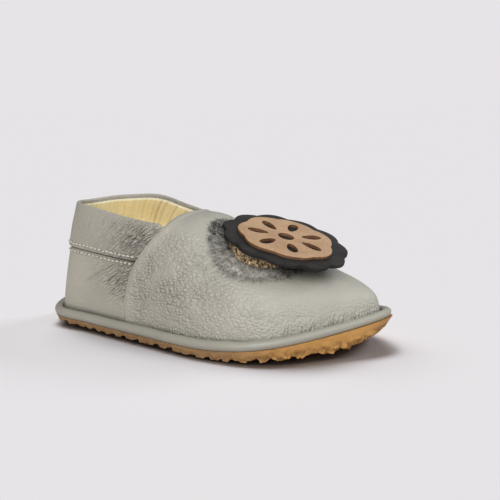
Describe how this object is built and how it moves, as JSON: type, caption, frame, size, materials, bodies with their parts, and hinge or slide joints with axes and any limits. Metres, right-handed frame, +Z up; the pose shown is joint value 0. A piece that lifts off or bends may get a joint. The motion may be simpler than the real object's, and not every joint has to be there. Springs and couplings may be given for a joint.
{
  "type": "barefoot shoe",
  "caption": "Toddler's slip-on barefoot shoe: soft grey leather upper, elasticated ankle band, rolled welt, thin barred gum-rubber sole with upturned toe, and a round touch-close leather badge",
  "frame": {"origin": "on the floor, under the middle of the shoe's bounding box", "axes": "+X to the toe, +Y to the inner side of the foot, +Z up"},
  "size_m": [0.1515, 0.0692, 0.0542],
  "materials": {
    "gum_rubber": "rough tan gum rubber",
    "welt_leather": "smooth grey leather",
    "grey_leather": "pebbled light grey leather",
    "band_leather": "creased light grey leather",
    "chamois": "matt yellow-tan chamois",
    "loop_felt": "fuzzy grey loop fabric",
    "hook_tape": "gold-brown hook tape",
    "black_leather": "matt black leather",
    "tan_leather": "matt tan leather with cut-outs"
  },
  "bodies": {
    "root": {"outsole": "gum_rubber", "welt": "welt_leather", "upper": "grey_leather", "collar_band": "band_leather", "insole": "chamois", "loop_patch": "loop_felt", "hook_patch": "hook_tape", "badge_base": "black_leather", "badge_face": "tan_leather"}
  },
  "joints": []
}
